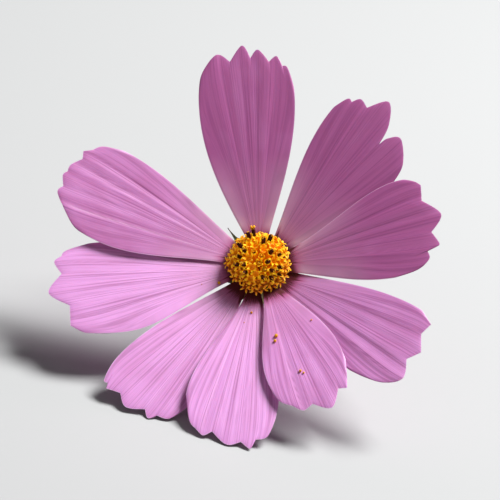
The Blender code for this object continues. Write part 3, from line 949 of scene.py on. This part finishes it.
def bractSheet(bract, grow, sway):
    # The first rows are the root, which runs into the receptacle
    rows, columns, rootRows = 30, 13, 4
    root = np.linspace(-bract["root"] / bract["length"], 0, rootRows, endpoint=False)
    reach, t = np.meshgrid(np.concatenate([root, np.linspace(0, 1, rows)]), np.linspace(1, -1, columns),
                           indexing="ij")
    s = np.maximum(reach, 0)
    width = bract["halfWidth"] * (0.55 + 0.45 * np.sin(math.pi * np.minimum(s * 1.5, 1)))
    x = np.clip((s - 0.35) / 0.65, 0, 1)
    width = width * (1 - 0.95 * x * x * (3 - 2 * x))
    lift = math.radians(bract["lift"])
    h = bract["arch"] * 4 * s * (1 - s) - bract["keel"] * (1 - np.abs(t)) * (width / bract["halfWidth"])
    h = h + bract["ribs"] * np.cos(3 * math.pi * t) * (width / bract["halfWidth"])
    h = h + bract["tipLift"] * np.clip((s - 0.7) / 0.3, 0, 1) ** 2
    length = bract["length"] * grow
    out = bract["radius"] + length * reach * math.cos(lift) - h * math.sin(lift)
    up = bract["height"] + length * reach * math.sin(lift) + h * math.cos(lift)
    points = np.stack([out, t * width + sway * s**2, up], axis=-1)
    return points, np.stack([t * 0.5, s * length / 10, s], axis=-1)


def makeBracts():
    rand = random.Random(11)
    look = greenLook
    skins = {
        "outer": greenMaterial("outerBractSkin", look["fresh"], look["deep"], look["blush"], 0.5, 14.0),
        "inner": greenMaterial("innerBractSkin", look["brown"], look["fresh"], look["brown"], 0.45, 16.0),
    }
    for kind, bract in bracts.items():
        for i in range(bract["count"]):
            points, fan = bractSheet(bract, rand.uniform(0.94, 1.0), rand.uniform(-0.35, 0.35))
            verts, faces = shellOf(points, bract["thickness"])
            spin = Matrix.Rotation(math.radians(bract["first"] + i * 360 / bract["count"]), 4, "Z")
            build = Build()
            build.add(onHead(placed(verts, spin)), faces, fan=np.tile(fan.reshape(-1, 3), (2, 1)))
            build.piece(f"{kind}Bract{i + 1}", [skins[kind]], [f"{kind}_bract_{i + 1}"])
    print("bracts:", sum(bract["count"] for bract in bracts.values()))


makeBracts()

receptacleShape = {
    "underside": ((0.95, -4.2), (1.5, -3.0), (2.1, -2.3), (2.6, -1.6), (2.95, -0.9), (3.1, -0.3),
                  (3.1, 0.6)),
    "sides": 48,
    "domeRings": 6,
    "lobes": 8,
    "lobeDepth": 0.05,
    "lobeLevel": 2,  # the ring of the underside where they are deepest, and how fast they fade
    "lobeSpan": 1.5,
    "floorHeight": 0.5,  # above this it is the floor of the disc
}


def makeReceptacle():
    shape = receptacleShape
    profile = [(0, shape["underside"][0][1])] + list(shape["underside"])
    for i in range(1, shape["domeRings"] + 1):
        radius = discShape["domeRadius"] * (1 - i / shape["domeRings"])
        profile.append((radius, domeHeight(radius)))

    def lobed(angle, level):
        fade = math.exp(-((level - shape["lobeLevel"]) / shape["lobeSpan"]) ** 2)
        return 1 + shape["lobeDepth"] * math.cos(shape["lobes"] * angle) * fade

    verts, faces = turnedOf(profile, shape["sides"], lobed)
    angle = np.arctan2(verts[:, 1], verts[:, 0])
    fan = np.stack([angle / math.pi, verts[:, 2] / 10, np.zeros(len(verts))], axis=-1)
    build = Build()
    build.add(onHead(verts), faces, fan=fan)
    heights = verts[:, 2]
    build.slots = [int(min(heights[i] for i in face) > shape["floorHeight"]) for face in faces]
    look = greenLook
    skins = [greenMaterial("receptacleSkin", look["fresh"], look["pale"], look["fresh"], 0.5, 12.0),
             # the floor of the disc gets the painted shade colour
             plainTissue("shadedDiscFloor", look["shadedDiscFloor"], look["shadedDiscFloorDeep"], 0.7, 3000.0)]
    build.piece("receptacle", skins, ["receptacle"])


makeReceptacle()


# Stem

stemShape = {
    "topRadius": 0.85,
    "endRadius": 1.05,
    "start": -4.05,  # a little way inside the receptacle
    "length": 100.0,
    "sway": 2.0,
    "rings": 220,
    "sides": 40,
    "ribs": 8,
    "ribDepth": 0.05,
    "flare": 0.18,  # how much wider it is at the head, and how fast that fades
    "flareFade": 60,
    "clearance": 0.02,  # of its lowest points above the surface
}


def stemRoute(count):
    # Down from the head in one arc, then along the surface
    shape = stemShape
    start = headPlace @ Vector((0, 0, shape["start"] * mm))
    direction = -(headPlace.to_3x3() @ Vector((0, 0, 1)))
    fall = start.z - shape["endRadius"] * mm
    slope = math.atan2(-direction.z, direction.y)
    bend = fall / (1 - math.cos(slope))
    arc, whole = bend * slope, shape["length"] * mm
    points = []
    for i in range(count + 1):
        d = whole * i / count
        turnedBy = min(d, arc) / bend
        y = start.y + bend * (math.sin(slope) - math.sin(slope - turnedBy)) + max(d - arc, 0)
        z = start.z - bend * (math.cos(slope - turnedBy) - math.cos(slope))
        share = max(d - arc * 0.5, 0) / (whole - arc * 0.5)
        x = start.x + shape["sway"] * mm * (math.sin(math.pi * 1.4 * share) - 0.3 * share)
        points.append((x, y, z))
    return np.array(points)


def makeStem():
    shape = stemShape
    route = stemRoute(shape["rings"])
    tangents = np.gradient(route, axis=0)
    tangents /= np.linalg.norm(tangents, axis=1, keepdims=True)
    right = np.cross(tangents, (0, 0, 1.0))
    right /= np.linalg.norm(right, axis=1, keepdims=True)
    upward = np.cross(right, tangents)
    angles = np.linspace(0, 2 * math.pi, shape["sides"], endpoint=False)
    share = np.linspace(0, 1, len(route))
    radius = (shape["topRadius"] * (1 - share) + shape["endRadius"] * share) * mm
    radius = radius * (1 + shape["flare"] * np.exp(-share * shape["flareFade"]))
    ribs = 1 - shape["ribDepth"] * (1 - np.cos(shape["ribs"] * angles))
    ring = np.cos(angles)[None, :, None] * right[:, None]
    ring = ring + np.sin(angles)[None, :, None] * upward[:, None]
    skin = route[:, None] + ring * (radius[:, None] * ribs[None, :])[..., None]
    skin[..., 2] = np.maximum(skin[..., 2], shape["clearance"] * mm)
    count = len(route) * shape["sides"]
    verts = np.concatenate([skin.reshape(-1, 3), route[:1], route[-1:]])
    sides = faceGrid(shape["sides"], len(route), closed=True, flip=True)
    caps = [(count, (j + 1) % shape["sides"], j) for j in range(shape["sides"])]
    last = count - shape["sides"]
    cut = [(count + 1, last + j, last + (j + 1) % shape["sides"]) for j in range(shape["sides"])]
    flow = np.repeat(share[:, None] * shape["length"] / 10, shape["sides"], axis=1)
    around = np.repeat(angles[None] / math.pi, len(route), axis=0)
    fan = np.stack([around.ravel(), flow.ravel(), np.zeros(count)], axis=-1)
    fan = np.concatenate([fan, np.zeros((2, 3))])
    build = Build()
    build.add(verts, sides + caps + cut, fan=fan)
    build.slots = [0] * (len(sides) + len(caps)) + [1] * len(cut)
    look = greenLook
    skins = [greenMaterial("stemSkin", look["fresh"], look["pale"], look["fresh"], 0.42, 10.0),
             plainTissue("cutPith", look["pith"], look["pithPale"], 0.6, 3000.0)]
    build.piece("stem", skins, ["stem"])
    print("stem:", shape["length"], "mm")


makeStem()


# Room: a plain pale floor, soft light and the camera

view = {
    "offAxis": 20.0,  # degrees from the flower's axis
    "around": -85.0,  # degrees round it, from the flower's right
    "distance": 450.0,
    "width": 95.0,  # of what it sees, at the flower
    "aim": (-1.7, 3.2),  # to the right of the petals' ring and above it, as the camera sees it
    "sensor": 36,
    "clip": (0.01, 20),  # metres
}

lights = {
    "key": dict(offAxis=66, around=51, distance=900, size=380, power=15.5, colour=(0.96, 0.98, 1.0)),
    "fill": dict(offAxis=40, around=-150, distance=900, size=700, power=0.7, colour=(1.0, 1.0, 1.0)),
}


room = {
    "floorSize": 6,  # metres
    "floor": (0.48, 0.475, 0.465),
    "world": (0.93, 0.95, 1.0),
    "worldStrength": 0.12,
}


def headDirection(offAxis, around):
    offAxis, around = math.radians(offAxis), math.radians(around)
    aside = math.sin(offAxis)
    return Vector((aside * math.cos(around), aside * math.sin(around), math.cos(offAxis)))


def makeCamera():
    towards = headDirection(view["offAxis"], view["around"])
    right = (Vector((1, 0, 0)) - towards.x * towards).normalized()
    upward = towards.cross(right)
    spot = towards * view["distance"] + right * view["aim"][0] + upward * view["aim"][1]
    turned = Matrix((right, upward, towards)).transposed().to_4x4()
    data = bpy.data.cameras.new("camera")
    data.sensor_width = view["sensor"]
    data.lens = view["sensor"] * view["distance"] / view["width"]
    data.clip_start, data.clip_end = view["clip"]
    camera = newObject("camera", data)
    camera.matrix_world = headPlace @ Matrix.Translation(spot * mm) @ turned
    bpy.context.scene.camera = camera


def makeRoom():
    bpy.ops.mesh.primitive_plane_add(size=room["floorSize"], location=(0, 0, 0))
    floor = bpy.context.object
    floor.name = "floor"
    material, _, shader = newMaterial("paleFloor", Roughness=0.85)
    shader.inputs["Base Color"].default_value = (*room["floor"], 1)
    floor.data.materials.append(material)
    for name, light in lights.items():
        data = bpy.data.lights.new(name, "AREA")
        data.size = light["size"] * mm
        data.energy = light["power"]
        data.color = light["colour"]
        made = newObject(name, data)
        direction = headPlace.to_3x3() @ headDirection(light["offAxis"], light["around"])
        made.location = headPlace.translation + direction * light["distance"] * mm
        made.rotation_euler = direction.to_track_quat("Z", "Y").to_euler()
    world = bpy.data.worlds.new("softRoom")
    world.use_nodes = True
    background = world.node_tree.nodes["Background"].inputs
    background["Color"].default_value = (*room["world"], 1)
    background["Strength"].default_value = room["worldStrength"]
    bpy.context.scene.world = world
    bpy.context.scene.view_settings.view_transform = "Standard"


makeCamera()
makeRoom()
print("room and camera set")
